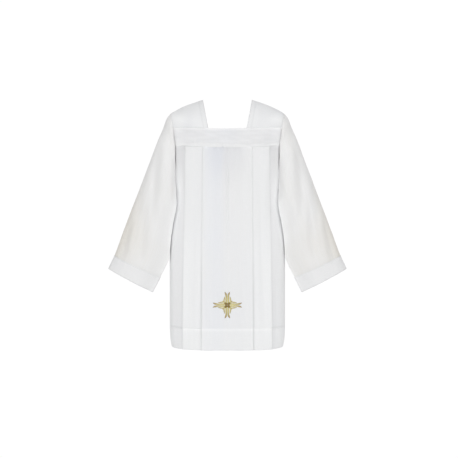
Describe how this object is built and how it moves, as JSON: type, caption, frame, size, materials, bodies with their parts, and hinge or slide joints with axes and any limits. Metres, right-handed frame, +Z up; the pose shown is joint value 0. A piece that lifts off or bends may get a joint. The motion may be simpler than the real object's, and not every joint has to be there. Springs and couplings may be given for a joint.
{
  "type": "surplice",
  "caption": "Square-necked white surplice in worn form, with yokes, a pleated body, wide banded sleeves and an embroidered cross.",
  "frame": {"origin": "midway between the two shoulder ridges at the neck, where the wearer's shoulders carry the garment", "axes": "+Z up along the wearer; the front faces -Y; +X is the wearer's left"},
  "size_m": [0.9256, 0.2752, 0.9616],
  "materials": {
    "white_cloth": "plain-woven white cotton and polyester cloth",
    "pressed_cloth": "the same cloth, doubled and pressed",
    "gold_thread": "satin-stitched gold thread"
  },
  "bodies": {
    "root": {"front_yoke": "pressed_cloth", "back_yoke": "pressed_cloth", "front_panel": "white_cloth", "back_panel": "white_cloth", "shoulder_left": "white_cloth", "shoulder_right": "white_cloth", "sleeve_front_left": "white_cloth", "sleeve_back_left": "white_cloth", "sleeve_front_right": "white_cloth", "sleeve_back_right": "white_cloth", "sleeve_band_left": "pressed_cloth", "sleeve_band_right": "pressed_cloth", "cross_embroidery": "gold_thread"}
  },
  "joints": []
}
